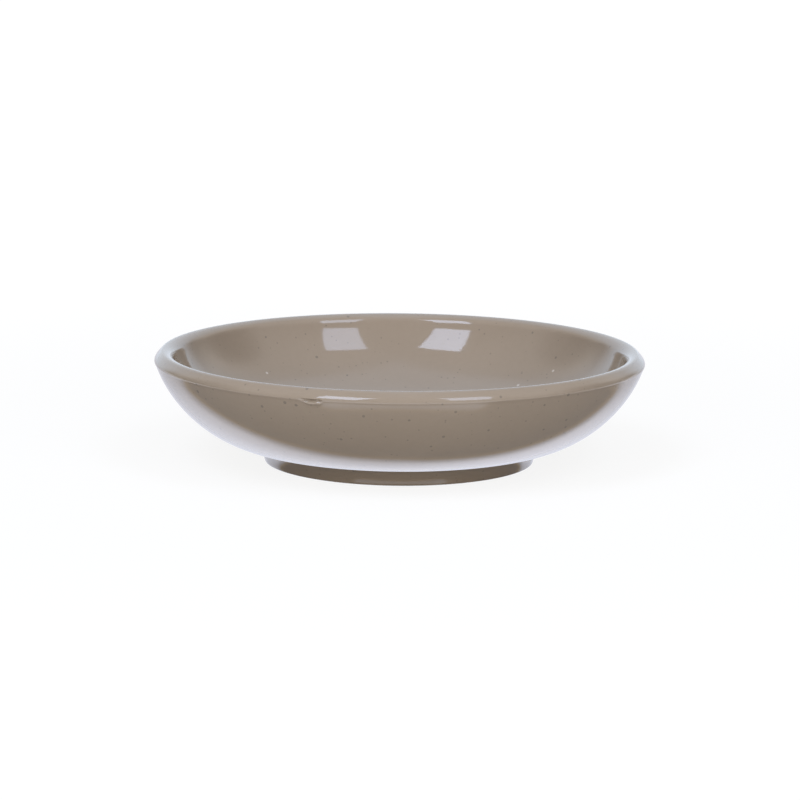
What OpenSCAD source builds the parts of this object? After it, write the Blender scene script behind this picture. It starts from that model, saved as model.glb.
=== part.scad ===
// A soy sauce dish of speckled, glazed stoneware: a shallow bowl with a rolled rim on a foot ring.
// Every piece is turned about the dish's own axis, so each is the revolve of one outline, and an
// outline is a list of [radius, height] points. The origin is the middle of the face that the dish
// stands on, +Z is up, and lengths are in millimetres.

/* [Dish] */
// Widest diameter, over the glaze, at the ridge round the rim
dish_d = 100; // [92:0.5:108]
// Height from the table to the crest of the rim
dish_h = 22.9; // [20:0.1:26]

/* [Rim] */
// Width of the rolled rim, from its widest line to its inner side
rim_w = 4.2; // [3.6:0.1:5]
// Height of the crest above the widest line
rim_h = 2.3; // [1.7:0.1:2.8]
// How far the crest stands in from the widest line
crest_in = 1.8; // [1.3:0.1:2.2]

/* [Wall] */
// Thickness of the wall where it springs from the foot, glaze and all
wall_t = 3.7; // [3:0.1:4.4]
// Slope of the wall where it springs from the foot, in degrees from level
low_slope = 5; // [2:0.5:8]
// Slope of the wall where it meets the rim, in degrees from level
high_slope = 72; // [67:0.5:77]
// Diameter of the flat middle of the floor
flat_d = 24; // [12:1:36]

/* [Foot ring] */
// Diameter over the glaze at the crease between the foot and the wall
foot_d = 57.9; // [52:0.1:63]
// Height of that crease above the table
foot_h = 3.5; // [3:0.1:4.2]
// Width of the flat land that the dish stands on
land_w = 1.6; // [1.2:0.1:2.4]
// Radius of the clay at both edges of the land
edge_r = 0.85; // [0.65:0.05:1.1]
// Lean of the foot's outer side, in degrees from upright
foot_lean = 25; // [15:1:29]
// Lean of the foot's inner side, in degrees from upright
recess_lean = 12; // [4:1:20]

/* [Glaze] */
// Thickness of each coat of glaze
glaze_t = 0.3; // [0.2:0.05:0.4]
// How far the inside coat stands proud of the outside coat at the ridge where they meet
ridge_h = 0.15; // [0.05:0.05:0.25]
// Height above the table of the line to which the foot is wiped bare
bare_h = 0.15; // [0.05:0.05:0.25]
// Radius of the glaze that pools in the corner of the recess under the base
pool_r = 0.8; // [0.5:0.1:1.4]

/* [Hidden] */
$fn = 180;
clay_colour = "#b3a28c";
glaze_colour = "#9c8f82";

// Steps along one side of the wall, along the floor's curve, round each side of the rim, round
// each part of the foot's small edges and round the glaze pooled in the recess
wall_steps = 24;
floor_steps = 5;
roll_steps = 12;
edge_steps = 4;
pool_steps = 8;
// Share of a wall curve's span that each of its two handles takes: it sets how full the wall is
pull_share = 0.34;

// The rim: its widest line, the middle of its two rounds, and where the outside coat ends under it
rim_r = dish_d / 2;
rim_z = dish_h - rim_h;
crest_r = rim_r - crest_in;
roll_in = rim_w - crest_in;
outer_high = [rim_r - ridge_h, rim_z];
// Where the rim's inner round has come down to the wall's slope
roll_turn = atan(rim_h / roll_in / tan(high_slope));
inner_high = [crest_r - roll_in * cos(roll_turn), rim_z + rim_h * sin(roll_turn)];

// The wall's two sides where they spring from the foot, one wall thickness apart
low_up = [-sin(low_slope), cos(low_slope)];
high_up = [-sin(high_slope), cos(high_slope)];
outer_low = [foot_d / 2, foot_h];
inner_low = outer_low + wall_t * low_up;

// The floor runs down from the wall on one arc that levels out at the flat middle
flat_r = flat_d / 2;
floor_r = (inner_low.x - flat_r) / sin(low_slope);
floor_c = [flat_r, inner_low.y + floor_r * cos(low_slope)];

// The bowl's level underside, on which the foot ring is luted, and the glazed ceiling of the recess
seat_z = outer_low.y + glaze_t * low_up.y;
ceiling_z = seat_z - glaze_t;
// Radii of the middles of the foot's two rounded edges, at the two ends of the land
glazed_edge_r = edge_r + glaze_t;
land_out_r = outer_low.x - (glazed_edge_r + (foot_h - edge_r) * sin(foot_lean)) / cos(foot_lean);
land_in_r = land_out_r - land_w;

function reversed(list) = [for (i = [len(list) - 1 : -1 : 0]) list[i]];

function between(a, b, t) = a + (b - a) * t;

// Points round part of an ellipse about c, from one angle to the other
function arc(c, rx, ry, from, to, steps) =
    [for (i = [0 : steps])
        let (a = between(from, to, i / steps))
        [c.x + rx * cos(a), c.y + ry * sin(a)]];

// A side of the wall, from low to high: one cubic curve that leaves and arrives at the wall's two
// slopes, moved along its own normals by depth, which is positive towards the hollow of the dish
function wall_side(low, high, depth) =
    let (pull = pull_share * norm(high - low),
         h1 = low + pull * [cos(low_slope), sin(low_slope)],
         h2 = high - pull * [cos(high_slope), sin(high_slope)])
    [for (i = [0 : wall_steps])
        let (t = i / wall_steps,
             a = between(low, h1, t),
             b = between(h1, h2, t),
             c = between(h2, high, t),
             ab = between(a, b, t),
             bc = between(b, c, t),
             along = (bc - ab) / norm(bc - ab))
        between(ab, bc, t) + depth * [-along.y, along.x]];

// The outside of the wall, from the foot to the rim, at a depth under the glazed surface
function outside(depth) = wall_side(outer_low, outer_high, depth);

// The rim's outer round, up from the point where it starts to the crest
function outer_roll(start, crest_z) =
    arc([crest_r, start.y], start.x - crest_r, crest_z - start.y, 0, 90, roll_steps);

// The inside, from just past the crest down the wall and in to the axis, at a depth
function inside(depth) =
    let (roll = arc([crest_r, rim_z], roll_in - depth, rim_h - depth, 90, 180 - roll_turn, roll_steps),
         wall = reversed(wall_side(inner_low, inner_high, -depth)),
         floor_arc = arc(floor_c, floor_r + depth, floor_r + depth, low_slope - 90, -90, floor_steps))
    concat([for (i = [1 : roll_steps - 1]) roll[i]],
           wall,
           [for (i = [1 : floor_steps]) floor_arc[i]],
           [[0, floor_c.y - floor_r - depth]]);

// The lined surface of the bowl: the clay's own, and the glaze that is poured over it
lined_clay = concat(outer_roll(outer_high + glaze_t * high_up, dish_h - glaze_t), inside(glaze_t));
lined_glaze = concat([outer_high - ridge_h * high_up], outer_roll([rim_r, rim_z], dish_h), inside(0));

// Angle on a rounded edge of the foot at which its skin, this far out, meets the wiped line
function wiped_angle(skin_r) = -asin((edge_r - bare_h) / skin_r);

// A rounded edge of the foot: side is 1 on the outside and -1 on the inside
function foot_edge(mid_r, side, skin_r, from, to) =
    arc([mid_r, edge_r], side * skin_r, skin_r, from, to, edge_steps);

// Where a side of the foot, drawn on from its rounded edge, has climbed to a height
function foot_at(mid_r, side, lean, skin_r, z) =
    [mid_r + side * (skin_r / cos(lean) + (z - edge_r) * tan(lean)), z];

// A side of the foot from the wiped line up to the seat
function foot_side(mid_r, side, lean, skin_r) =
    concat(foot_edge(mid_r, side, skin_r, wiped_angle(skin_r), -lean),
           [foot_at(mid_r, side, lean, skin_r, seat_z)]);

// The bare clay between the land and the wiped line
function bare_edge(mid_r, side) =
    let (edge = foot_edge(mid_r, side, edge_r, -90, wiped_angle(edge_r)))
    [for (i = [0 : edge_steps - 1]) edge[i]];

// The bowl: floor, wall and the core of the rolled rim, thrown in one piece of clay
module clay_bowl() {
    clay_wall = outside(glaze_t);
    color(clay_colour)
        rotate_extrude()
            polygon(concat([[0, seat_z]],
                           [for (i = [0 : wall_steps - 1]) clay_wall[i]],
                           lined_clay));
}

// The foot: a ring of clay luted to the bowl's level underside
module foot_ring() {
    color(clay_colour)
        rotate_extrude()
            polygon(concat(bare_edge(land_out_r, 1),
                           foot_side(land_out_r, 1, foot_lean, edge_r),
                           reversed(foot_side(land_in_r, -1, recess_lean, edge_r)),
                           reversed(bare_edge(land_in_r, -1))));
}

// The liner glaze: poured inside and rolled over the lip, where it sets in a fine ridge
module inside_glaze() {
    color(glaze_colour)
        rotate_extrude()
            polygon(concat(lined_glaze, reversed(lined_clay)));
}

// The outside glaze: from under the ridge down the wall and the foot's side to the wiped line
module outside_glaze() {
    color(glaze_colour)
        rotate_extrude()
            union() {
                polygon(concat(outside(0), reversed(outside(glaze_t))));
                polygon(concat(foot_side(land_out_r, 1, foot_lean, glazed_edge_r),
                               reversed(foot_side(land_out_r, 1, foot_lean, edge_r))));
            }
}

// The base glaze: the ceiling of the recess and the foot's inner side, pooled in the corner
module base_glaze() {
    pool_z = ceiling_z - pool_r;
    pool_c = foot_at(land_in_r, -1, recess_lean, glazed_edge_r + pool_r, pool_z);
    color(glaze_colour)
        rotate_extrude()
            polygon(concat([[0, ceiling_z]],
                           arc(pool_c, pool_r, pool_r, 90, recess_lean, pool_steps),
                           reversed(foot_edge(land_in_r, -1, glazed_edge_r,
                                              wiped_angle(glazed_edge_r), -recess_lean)),
                           foot_side(land_in_r, -1, recess_lean, edge_r),
                           [[0, seat_z]]));
}

clay_bowl();
foot_ring();
inside_glaze();
outside_glaze();
base_glaze();
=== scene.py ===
from math import atan2, cos, degrees, hypot, pi, radians, sin

import bmesh
import bpy
from mathutils import Matrix, Vector
from mathutils.geometry import interpolate_bezier


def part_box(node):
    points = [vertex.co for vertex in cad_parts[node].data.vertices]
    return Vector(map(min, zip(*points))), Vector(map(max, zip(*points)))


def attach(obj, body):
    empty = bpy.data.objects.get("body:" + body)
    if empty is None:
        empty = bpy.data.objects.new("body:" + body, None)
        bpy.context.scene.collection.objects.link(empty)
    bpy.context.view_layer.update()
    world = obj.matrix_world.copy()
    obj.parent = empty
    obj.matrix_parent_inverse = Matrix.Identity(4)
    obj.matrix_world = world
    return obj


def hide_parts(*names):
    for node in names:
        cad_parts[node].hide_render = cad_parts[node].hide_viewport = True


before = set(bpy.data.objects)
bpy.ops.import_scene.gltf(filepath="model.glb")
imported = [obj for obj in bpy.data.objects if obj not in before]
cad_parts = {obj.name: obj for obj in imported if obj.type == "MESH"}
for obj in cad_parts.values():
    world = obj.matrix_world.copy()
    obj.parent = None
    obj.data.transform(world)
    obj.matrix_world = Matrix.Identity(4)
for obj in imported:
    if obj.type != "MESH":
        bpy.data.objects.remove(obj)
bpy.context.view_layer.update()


# ------------------------------------------------------------------------------- the bowl
# Floor, wall and the core of the rolled rim are thrown in one piece of buff stoneware clay and
# fired. Glaze covers all of it, so the solid stays as it is and takes the fired clay's finish.

class Wire:
    """A socket in a finish: sums on it add Math nodes, and node() adds a node of any other type."""

    def __init__(self, tree, socket=None):
        self.tree, self.socket = tree, socket

    def node(self, kind, settings=None, feeds=None, out=0):
        made = self.tree.nodes.new(kind)
        for name, value in (settings or {}).items():
            setattr(made, name, value)
        for name, value in (feeds or {}).items():
            if isinstance(value, Wire):
                self.tree.links.new(value.socket, made.inputs[name])
            else:
                made.inputs[name].default_value = value
        return Wire(self.tree, made.outputs[out] if made.outputs else None)

    def other(self, out):
        """Another output of the same node."""
        return Wire(self.tree, self.socket.node.outputs[out])

    def math(self, operation, a, b, clamp=False):
        return self.node("ShaderNodeMath", {"operation": operation, "use_clamp": clamp}, {0: a, 1: b})

    def __add__(self, other):
        return self.math("ADD", self, other)

    def __radd__(self, other):
        return self.math("ADD", other, self)

    def __sub__(self, other):
        return self.math("SUBTRACT", self, other)

    def __rsub__(self, other):
        return self.math("SUBTRACT", other, self)

    def __mul__(self, other):
        return self.math("MULTIPLY", self, other)

    def __rmul__(self, other):
        return self.math("MULTIPLY", other, self)


def colour(code):
    """A colour from its web code, as the linear values that a shader takes."""
    parts = [int(code[i:i + 2], 16) / 255 for i in (1, 3, 5)]
    return [c / 12.92 if c <= 0.04045 else ((c + 0.055) / 1.055) ** 2.4 for c in parts] + [1]


def blank_finish(name):
    """A new finish without nodes, and the place on the dish that its patterns read."""
    finish = bpy.data.materials.new(name)
    finish.use_nodes = True
    finish.node_tree.nodes.clear()
    return finish, Wire(finish.node_tree).node("ShaderNodeTexCoord", out="Object")


def tint(share, under, over):
    """Mixes two colours, by a share of the second from 0 to 1."""
    return share.node("ShaderNodeMix", {"data_type": "RGBA"}, {0: share, 6: under, 7: over}, 2)


def clouds(place, size, detail=2):
    """Soft patches of about a size in metres, from 0 to 1."""
    return place.node("ShaderNodeTexNoise", feeds={"Vector": place, "Scale": 1 / size, "Detail": detail})


def specks(place, apart, radius, share, edge):
    """Round specks up to a radius, one to each cell this far apart, in a share of the cells."""
    away = place.node("ShaderNodeTexVoronoi", feeds={"Vector": place, "Scale": 1 / apart})
    lot = place.node("ShaderNodeSeparateColor", feeds={"Color": away.other("Color")}, out="Red")
    reach = (lot - (1 - share)) * (radius / apart / share)
    return place.math("MULTIPLY", reach - away, apart / edge, clamp=True)


clay, place = blank_finish("fired_clay")
grain = clouds(place, 0.0004, 4)
iron = specks(place, apart=0.0016, radius=0.00022, share=0.35, edge=0.00006)
body = tint(grain, colour("#a8977f"), colour("#bfaf99"))
body = tint(iron * 0.6, body, colour("#6d5a48"))
tooth = place.node("ShaderNodeBump", feeds={"Height": grain, "Distance": 0.00003})
clay_shader = place.node("ShaderNodeBsdfPrincipled", feeds={
    "Base Color": body, "Roughness": 0.82 + grain * 0.12, "Normal": tooth})
place.node("ShaderNodeOutputMaterial", feeds={"Surface": clay_shader})

bowl_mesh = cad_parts["clay_bowl"].data
bowl_mesh.materials.clear()
bowl_mesh.materials.append(clay)


# ------------------------------------------------------------------------------- the foot ring
# A ring of the same clay, luted to the bowl's level underside and turned true. Its land and the
# two small rounds beside it are wiped bare before firing, so that it doesn't stick to the kiln.

mm = 0.001


def bend(start, leaving, arriving, end, pull=0.37, steps=10):
    """Points along one smooth bend between two (radius, height) points in mm. The ways it leaves
    and arrives are in degrees: 0 is straight out from the dish's axis, and 90 is straight up."""
    a, b = Vector((*start, 0)), Vector((*end, 0))
    reach = pull * (b - a).length
    first = a + reach * Vector((cos(radians(leaving)), sin(radians(leaving)), 0))
    last = b - reach * Vector((cos(radians(arriving)), sin(radians(arriving)), 0))
    return [(p.x, p.y) for p in interpolate_bezier(a, first, last, b, steps + 1)]


def turned(outline, ring=False, start=0, arcs=((360, 288),)):
    """The closed form that an outline in mm sweeps about the dish's axis, arc by arc of degrees and
    steps. A ring's outline closes on itself, and any other begins and ends on the axis."""
    form = bmesh.new()
    points = [form.verts.new((radius * mm, 0, height * mm)) for radius, height in outline]
    for a, b in zip(points, points[1:] + points[:1] if ring else points[1:]):
        form.edges.new((a, b))
    bmesh.ops.rotate(form, verts=form.verts, cent=(0, 0, 0), matrix=Matrix.Rotation(radians(start), 3, "Z"))
    edge = form.verts[:] + form.edges[:]
    for sweep, steps in arcs:
        edge = bmesh.ops.spin(form, geom=edge, cent=(0, 0, 0), axis=(0, 0, 1), angle=radians(sweep),
                              steps=steps, use_merge=len(arcs) == 1)["geom_last"]
    bmesh.ops.remove_doubles(form, verts=form.verts, dist=0.000001)
    bmesh.ops.recalc_face_normals(form, faces=form.faces)
    return form


def fire(name, form, finish, node):
    """Makes a piece of the dish from its form: it takes a finish and stands for a CAD node."""
    mesh = bpy.data.meshes.new(name)
    form.to_mesh(mesh)
    form.free()
    mesh.shade_smooth()
    mesh.set_sharp_from_angle(angle=radians(50))
    mesh.materials.append(finish)
    piece = bpy.data.objects.new(name, mesh)
    bpy.context.scene.collection.objects.link(piece)
    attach(piece, "root")
    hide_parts(node)
    return piece


# The land's two edges, the ways in degrees that the foot's two sides climb, and the ends of those
# sides above the small rounds
seat_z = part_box("foot_ring")[1].z / mm
land_in_r, land_out_r = 24.845, 26.445
side_way, recess_way = 65, 102
clay_side_low, clay_side_high = (27.216, 0.491), (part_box("foot_ring")[1].x / mm, seat_z)
clay_recess_low, clay_recess_high = (24.014, 0.673), (23.350, seat_z)

foot = fire("turned_foot", turned(
    bend((land_out_r, 0), 0, side_way, clay_side_low, steps=6)
    + [clay_side_high, clay_recess_high]
    + bend(clay_recess_low, recess_way - 180, 0, (land_in_r, 0), steps=6), ring=True),
    clay, "foot_ring")


# ------------------------------------------------------------------------------- the inside glaze
# The liner glaze is poured in, swirled and rolled over the lip. It sets glossy over fine iron
# specks and stops at the widest line in a raised ridge, with one run that hangs below it.

glaze, place = blank_finish("taupe_glaze")
drift = clouds(place, 0.018)
mottle = clouds(place, 0.0011, 3)
fine_specks = specks(place, apart=0.0013, radius=0.00028, share=0.8, edge=0.00008)
bold_specks = specks(place, apart=0.0022, radius=0.00042, share=0.6, edge=0.00010)
glass = tint(drift, colour("#968674"), colour("#9e8e7c"))
glass = tint(mottle * 0.35, glass, colour("#8e7e6c"))
glass = tint(fine_specks * 0.30, glass, colour("#5b5048"))
glass = tint(bold_specks * 0.40, glass, colour("#55504a"))

# Three pale flecks in the hollow of the dish
fleck_radius, fleck_sharpness = 0.00042, 3000
for fleck in [(-0.0281, 0.0291, 0.0128), (0.0251, 0.0285, 0.0108), (0.0324, 0.0265, 0.0143)]:
    away = place.node("ShaderNodeVectorMath", {"operation": "DISTANCE"}, {0: place, 1: fleck}, "Value")
    pale = place.math("MULTIPLY", fleck_radius - away, fleck_sharpness, clamp=True)
    glass = tint(pale, glass, colour("#c6bbae"))

orange_peel = place.node("ShaderNodeBump", feeds={"Height": clouds(place, 0.005, 1), "Distance": 0.000006})
glaze_shader = place.node("ShaderNodeBsdfPrincipled", feeds={
    "Base Color": glass, "Roughness": 0.05 + mottle * 0.03, "IOR": 1.5, "Normal": orange_peel})
place.node("ShaderNodeOutputMaterial", feeds={"Surface": glaze_shader})

rim_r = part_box("inside_glaze")[1].x / mm
crest_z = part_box("inside_glaze")[1].z / mm
crest_in, ridge_proud, glaze_t = 1.8, 0.15, 0.3
crest_r = rim_r - crest_in

# The lined side: the floor's flat middle, and the ends of the wall with the ways that it climbs there
floor_z, flat_r = 6.46, 12
wall_low, wall_high = (28.628, 7.186), (45.909, 21.284)
floor_way, lip_way = 5, 72

# The rim from the crest out and down: a soft flat, a tight round, the groove over the ridge, the
# ridge, and its underside, which tucks in to where the outside coat starts
brim, shoulder, neck = (rim_r - 0.72, 22.10), (rim_r - 0.39, 21.72), (rim_r - 0.11, 21.24)
groove, brow = (rim_r - 0.05, 21.03), (rim_r - 0.035, 20.95)
ridge, chin = (rim_r - 0.02, 20.85), (rim_r - ridge_proud, 20.46)
lip_end = (49.565, 20.70)


def lining(depth):
    """The bowl's lined side, from the axis up to the crest, at a depth under the glazed surface."""
    low = (wall_low[0] + depth * sin(radians(floor_way)), wall_low[1] - depth * cos(radians(floor_way)))
    high = (wall_high[0] + depth * sin(radians(lip_way)), wall_high[1] - depth * cos(radians(lip_way)))
    return ([(radius, floor_z - depth) for radius in (0, 2, 5, 8)]
            + bend((flat_r, floor_z - depth), 0, floor_way, low, pull=0.33)[:-1]
            + bend(low, floor_way, lip_way, high, pull=0.34, steps=36)[:-1]
            + bend(high, lip_way, 0, (crest_r, crest_z - depth), pull=0.369, steps=14))


# The one run of glaze lies between two bearings in degrees from the front, and is turned in finer
# steps than the rest of the liner
run_low, run_high, run_steps, rest_steps = -23.4, -16.7, 52, 284
liner = turned(
    lining(0)
    + bend((crest_r, crest_z), 0, -45, brim, pull=0.33, steps=12)[1:]
    + bend(brim, -45, -51, shoulder, pull=0.34, steps=4)[1:]
    + bend(shoulder, -51, -67, neck, pull=0.34, steps=8)[1:]
    + bend(neck, -67, -80, groove, pull=0.34, steps=5)[1:]
    + bend(groove, -80, -77, brow, steps=3)[1:]
    + bend(brow, -77, -97, ridge, steps=6)[1:]
    + bend(ridge, -97, -112, chin, steps=9)[1:]
    + bend(lip_end, 90, 180, (crest_r, crest_z - glaze_t), pull=0.39, steps=12)
    + lining(glaze_t)[-2::-1],
    start=run_low - 90,
    arcs=((run_high - run_low, run_steps), (360 - run_high + run_low, rest_steps)))


def ease(share):
    """Rises smoothly from 0 to 1."""
    share = min(1, max(0, share))
    return share * share * (3 - 2 * share)


# How far the run drops the ridge, the shares of that by which it leans in and tucks under, the
# degrees over which its two ends set in, the hollow that it leaves over its edge, and the bead in
# which it gathers. Only the lip's outer face moves.
run_drop, run_lean, run_tuck, left_end, right_end, outer_face_r = 0.80, 0.15, 0.18, 3.3, 1.5, 49.7
hollow_z, hollow_deep, hollow_up, hollow_down = 20.76, 0.36, 0.34, 0.60
bead_bearing, bead_z, bead_reach, bead_out, mm_per_degree = -18.5, 20.42, 0.75, 0.16, 0.87

for v in liner.verts:
    radius, height = hypot(v.co.x, v.co.y) / mm, v.co.z / mm
    bearing = degrees(atan2(v.co.x, -v.co.y))
    if run_low < bearing < run_high and radius > outer_face_r and height < groove[1]:
        swell = ease((bearing - run_low) / left_end) * ease((run_high - bearing) / right_end)
        fall = run_drop * swell * ease((groove[1] - height) / (groove[1] - ridge[1]))
        tuck = ease((ridge[1] - height) / (ridge[1] - chin[1]))
        height -= fall
        hollow = (height - hollow_z) / (hollow_up if height > hollow_z else hollow_down)
        bead = hypot((bearing - bead_bearing) * mm_per_degree, height - bead_z) / bead_reach
        radius -= (fall * (run_lean + run_tuck * tuck)
                   + hollow_deep * swell * max(0, 1 - hollow * hollow) ** 2)
        radius += bead_out * max(0, 1 - bead * bead) ** 2
        v.co = Vector((sin(radians(bearing)) * radius, -cos(radians(bearing)) * radius, height)) * mm

fire("liner_glaze", liner, glaze, "inside_glaze")


# ------------------------------------------------------------------------------- the outside glaze
# The same glaze, dipped. It runs from under the ridge down the wall to the crease above the foot,
# and goes on down the foot's side to the wiped line, where it ends in a soft edge.

# The wall's two ends and the ways that it climbs there, the line to which the foot is wiped, the
# places where the foot's coat starts and where its round turns into the bowed side, and its ways
wall_top, crease = (rim_r - ridge_proud, 20.6), (28.95, 3.5)
crease_way, ridge_way = 4, 71.8
wiped_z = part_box("outside_glaze")[0].z / mm
coat_hem, coat_side = (26.928, wiped_z), (27.470, 0.364)
coat_way, bow_way, hem_way = 73, 56, -150


def outer_wall(depth):
    """The bowl's outer side, from the crease up to the ridge, at a depth under the glazed surface."""
    low = (crease[0] - depth * sin(radians(crease_way)), crease[1] + depth * cos(radians(crease_way)))
    high = (wall_top[0] - depth * sin(radians(ridge_way)), wall_top[1] + depth * cos(radians(ridge_way)))
    return bend(low, crease_way, ridge_way, high, pull=0.341, steps=48)


fire("wall_glaze", turned(
    outer_wall(0) + [lip_end] + outer_wall(glaze_t)[-2::-1], ring=True),
    glaze, "outside_glaze")
foot_coat = fire("foot_glaze", turned(
    bend(coat_hem, 0, coat_way, coat_side, steps=6)
    + bend(coat_side, coat_way, bow_way, crease, steps=10)[1:]
    + [outer_wall(glaze_t)[0], clay_side_high]
    + bend(clay_side_low, side_way - 180, hem_way, coat_hem, steps=3)[:-1], ring=True),
    glaze, "outside_glaze")


# ------------------------------------------------------------------------------- the base glaze
# The glaze of the recess under the dish: a level ceiling that pools in the corner and runs down
# the foot's inner side to the wiped line. It is the same glaze, out of sight on a table.

# The two ends of the pool in the corner, and of the round at the foot of the recess
ceiling_z = seat_z - glaze_t
pool_in, pool_out = (22.459, ceiling_z), (23.241, 2.865)
recess_low, recess_hem = (23.721, 0.611), (24.363, wiped_z)
base_coat = fire("base_glaze_coat", turned(
    [(radius, ceiling_z) for radius in (0, 4, 8, 12, 16, 20)]
    + bend(pool_in, 0, recess_way - 180, pool_out, steps=10)
    + bend(recess_low, recess_way - 180, 0, recess_hem, steps=6)
    + [clay_recess_low, clay_recess_high]
    + [(radius, seat_z) for radius in (12, 0)]),
    glaze, "base_glaze")


# ------------------------------------------------------------------------------- the table
# A plain white sheet under the dish, matt to the light. It shows white to the camera and keeps the
# dish's soft shadow. The gloss mirrors neither it nor the foot and the base.

sheet_form = bmesh.new()
bmesh.ops.create_grid(sheet_form, x_segments=1, y_segments=1, size=4)
sheet_mesh = bpy.data.meshes.new("table_sheet")
sheet_form.to_mesh(sheet_mesh)
sheet_form.free()
paper, place = blank_finish("white_paper")
seen = place.node("ShaderNodeLightPath", out="Is Camera Ray")
matt = place.node("ShaderNodeBsdfDiffuse", feeds={"Color": (0.70, 0.69, 0.66, 1)})
white = place.node("ShaderNodeEmission", feeds={"Color": (1, 1, 1, 1), "Strength": 1.1})

# The share of plain white that the camera sees is a little less near the dish, for its shadow
off = place.node("ShaderNodeVectorMath", {"operation": "LENGTH"}, {0: place}, "Value")
off = off.node("ShaderNodeMapRange", {"interpolation_type": "SMOOTHSTEP"}, {
    "Value": off, "From Min": 0.08, "From Max": 0.5, "To Min": 0.80, "To Max": 0.96})
shown = place.node("ShaderNodeMixShader", feeds={0: seen * off, 1: matt, 2: white})
place.node("ShaderNodeOutputMaterial", feeds={"Surface": shown})

sheet_mesh.materials.append(paper)
sheet = bpy.data.objects.new("table_sheet", sheet_mesh)
bpy.context.scene.collection.objects.link(sheet)
for hidden in (sheet, foot, foot_coat, base_coat):
    hidden.visible_glossy = False


# ------------------------------------------------------------------------------- the light
# A white room, and two softboxes high on either side of the camera, which show as two bright
# windows on the bowl's far wall. To the eye the room is plain white, and in the gloss it has a dark
# flag on each side of the dish.

room = bpy.data.worlds.new("white_room")
room.use_nodes = True
room.node_tree.nodes.clear()
seen = Wire(room.node_tree).node("ShaderNodeLightPath", out="Is Camera Ray")
mirrored = seen.other("Is Glossy Ray")

# Where a ray goes in the room: to the right, away from the camera, and up, each from -1 to 1
side = seen.node("ShaderNodeSeparateXYZ", feeds={
    "Vector": seen.node("ShaderNodeTexCoord", out="Generated")}, out="X")
deep, high = side.other("Y"), side.other("Z")


def ramp(value, start, end):
    """Rises smoothly from 0 to 1 as a value goes from start to end."""
    return value.node("ShaderNodeMapRange", {"interpolation_type": "SMOOTHSTEP"}, {
        "Value": value, "From Min": start, "From Max": end})


# How much a ray goes behind the dish, before it, down to the table, and up to the bright backdrop
# beyond it, each from 0 to 1
across = side.math("ABSOLUTE", side + deep * 0.07, 0)
behind = ramp(deep * 0.89 - across, -0.2, 0.2)
before = ramp(0 - deep - side.math("ABSOLUTE", side - 0.04, 0) * 0.9, -0.08, 0.08)
below = ramp(0 - high, -0.03, 0.08)
beyond = ramp(deep * 0.89 - across + high * 0.3, -0.25, 0.3)

# The table in the gloss: behind the dish it starts at a slanting line, with a firm edge and a soft
# one, and before the dish and on its sides it fades downwards, where the dish shades it
slant = deep + high * 0.64 - side.math("MAXIMUM", side, 0) * 0.64 + side.math("MINIMUM", side, 0) * 0.07
far_sheet = ramp(slant, -0.19, 0.13) * 0.8 + ramp(slant, -0.36, 0.06) * 0.2
far_sheet = far_sheet * behind * (0.78 + ramp(0 - high, 0.2, 0.75) * 1.30) * (1 + across * 0.25)
near_sheet = ramp(high, -0.85, -0.69) * before * 1.85
side_sheet = ramp(high, -0.48, -0.28) * (1 - before) * (1 - behind) * 2.2
sheet_glow = far_sheet + near_sheet + side_sheet

# The room in the gloss: dim, brighter towards the camera and high up, with the two dark flags, of
# which the left one lets some light past, and a bright backdrop
flag_side, flag_deep, flag_high = 0.885, 0.24, 0.39
upper = 0.06 + ramp(0 - deep, 0, 0.5) * 0.38 + ramp(high, 0.12, 0.45) * ramp(deep, -0.6, 0) * 0.75
wide, into, over = side.math("ABSOLUTE", side, 0) - flag_side, deep - flag_deep, high - flag_high
flag = wide * wide + into * into + over * over
lit = ramp(0 - side, -0.3, 0.3) * 0.3
upper = upper * (lit + ramp(flag, 0.01, 0.15) * (1 - lit))
upper = upper.math("MAXIMUM", upper + ramp(deep, 0.25, 0.7) * 0.4, beyond * 1.38)
glow = upper * (1 - below) + (0.24 + sheet_glow) * below

# The colours of the gloss: warm from the room, cool from the backdrop and the table, and warm in
# the fringe where the table's light fades
fringe = ramp(sheet_glow, 0.01, 0.2) * (1 - ramp(sheet_glow, 0.25, 0.95))
sheet_tint = tint(fringe, (0.85, 0.88, 1, 1), (1, 0.84, 0.66, 1))
room_tint = tint(beyond, (1, 0.95, 0.88, 1), (0.79, 0.88, 1, 1))
gloss = seen.node("ShaderNodeBackground", feeds={
    "Color": tint(below, room_tint, sheet_tint), "Strength": glow})

# The light that the room sheds on the dish: most of it from low down behind the camera, and a
# little from straight above
back = ramp(deep, -0.92, -0.12)
front = 0.10 + (1 - back) * (2.1 - ramp(high, 0.05, 0.5) * 0.92) + ramp(high, 0.5, 0.95) * 0.28
ambient = seen.node("ShaderNodeBackground", feeds={"Color": (1, 1, 1, 1), "Strength": front})

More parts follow.
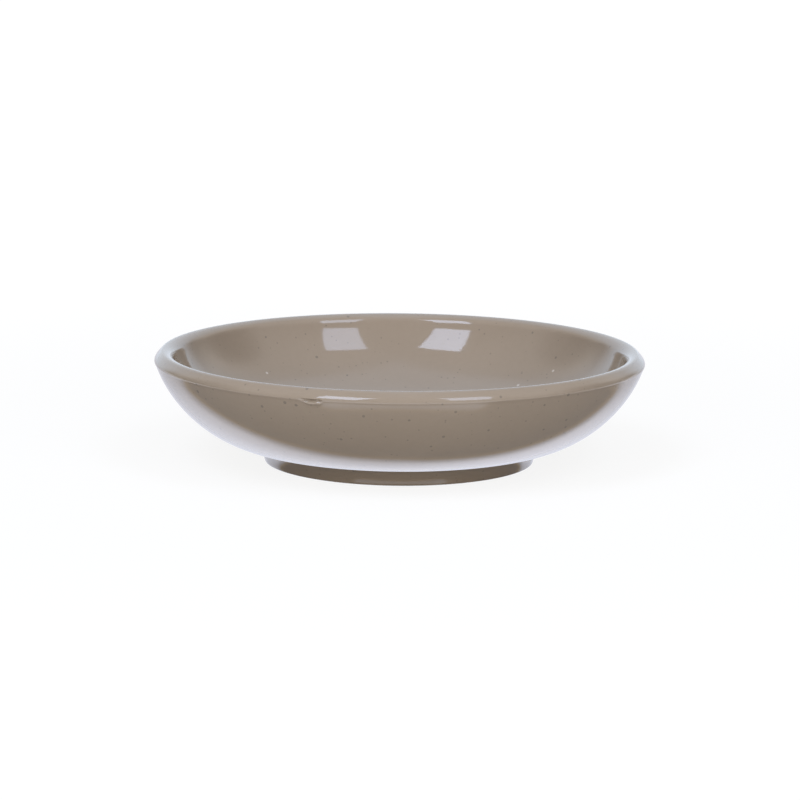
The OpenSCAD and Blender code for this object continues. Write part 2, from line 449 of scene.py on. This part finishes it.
backdrop = seen.node("ShaderNodeBackground", feeds={"Color": (1, 1, 1, 1), "Strength": 1.0})
around = seen.node("ShaderNodeMixShader", feeds={0: mirrored, 1: ambient, 2: gloss})
around = seen.node("ShaderNodeMixShader", feeds={0: seen, 1: around, 2: backdrop})
seen.node("ShaderNodeOutputWorld", feeds={"Surface": around})
bpy.context.scene.world = room

# How far the softboxes hang from the dish, in metres, and the colour of their light
hung_at, cool_white = 1.2, (0.65, 0.76, 1)


def softbox(name, bearing, height, width, tall, turn, brightness):
    """A lamp at a bearing from the camera's side, a height and a turn in degrees, of a width and
    height in metres. Its power grows with its area, so that a larger one is no brighter."""
    away = Vector((sin(radians(bearing)) * cos(radians(height)),
                   -cos(radians(bearing)) * cos(radians(height)), sin(radians(height))))
    lamp = bpy.data.lights.new(name, "AREA")
    lamp.shape = "RECTANGLE"
    lamp.size, lamp.size_y = width, tall
    lamp.color = cool_white
    lamp.energy = brightness * pi * width * tall
    hung = bpy.data.objects.new(name, lamp)
    facing = (-away).to_track_quat("-Z", "Y").to_matrix().to_4x4()
    hung.matrix_world = Matrix.Translation(away * hung_at) @ facing @ Matrix.Rotation(radians(turn), 4, "Z")
    bpy.context.scene.collection.objects.link(hung)


softbox("softbox_right", bearing=39.6, height=47.9, width=0.365, tall=0.60, turn=-14, brightness=5.3)
softbox("softbox_left", bearing=-32.6, height=49.0, width=0.375, tall=0.58, turn=4, brightness=7.9)


# ------------------------------------------------------------------------------- the camera
# It stands 0.8 m in front of the dish, looks down on it by about ten degrees, and leans by half a
# degree. Its long lens keeps the dish's lines nearly as flat as they would be from far away.

tilt, lean, distance = 10.208, 0.525, 0.8
target = Vector((0.000137, 0, 0.012524))
eye = bpy.data.cameras.new("camera")
eye.lens = 176.12
eye.sensor_width = 36
eye.clip_start, eye.clip_end = 0.01, 20
camera = bpy.data.objects.new("camera", eye)
camera.matrix_world = (
    Matrix.Translation(target + distance * Vector((0, -cos(radians(tilt)), sin(radians(tilt)))))
    @ Matrix.Rotation(radians(90 - tilt), 4, "X") @ Matrix.Rotation(radians(lean), 4, "Z"))
bpy.context.scene.collection.objects.link(camera)
bpy.context.scene.camera = camera
bpy.context.scene.view_settings.view_transform = "Standard"
